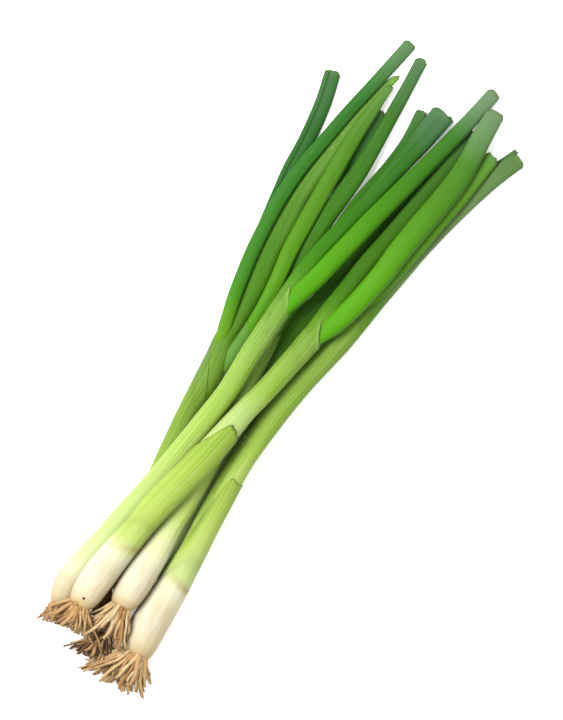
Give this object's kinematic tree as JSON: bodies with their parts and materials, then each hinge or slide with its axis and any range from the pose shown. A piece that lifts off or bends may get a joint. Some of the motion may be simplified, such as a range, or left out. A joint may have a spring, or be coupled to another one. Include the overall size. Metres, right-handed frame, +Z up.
{
  "type": "spring onion bunch",
  "caption": "Loose bunch of spring onions lying down, with white bulbs, root tufts, pale sheaths and long hollow green leaves cut off at the tips",
  "frame": {"origin": "centre of the bounding box in plan, on the surface that the bunch lies on", "axes": "+X across the bunch, +Y along it from the roots to the leaf tips, +Z up"},
  "size_m": [0.111, 0.3626, 0.0327],
  "materials": {
    "root": "dry tan root fibres, matt",
    "stalk": "cream white bulb passing into a pale green ribbed sheath and a green leaf, satin",
    "leaf": "green leaf with fine lengthwise veins and a waxy bloom, satin"
  },
  "bodies": {
    "root": {"onion_1_leaf_1": "leaf", "onion_1_roots": "root", "onion_1_stalk": "stalk", "onion_2_leaf_1": "leaf", "onion_2_roots": "root", "onion_2_stalk": "stalk", "onion_3_leaf_1": "leaf", "onion_3_roots": "root", "onion_3_stalk": "stalk", "onion_4_leaf_1": "leaf", "onion_4_leaf_2": "leaf", "onion_4_roots": "root", "onion_4_stalk": "stalk", "onion_5_leaf_1": "leaf", "onion_5_roots": "root", "onion_5_stalk": "stalk", "onion_6_leaf_1": "leaf", "onion_6_leaf_2": "leaf", "onion_6_leaf_3": "leaf", "onion_6_roots": "root", "onion_6_stalk": "stalk"}
  },
  "joints": []
}
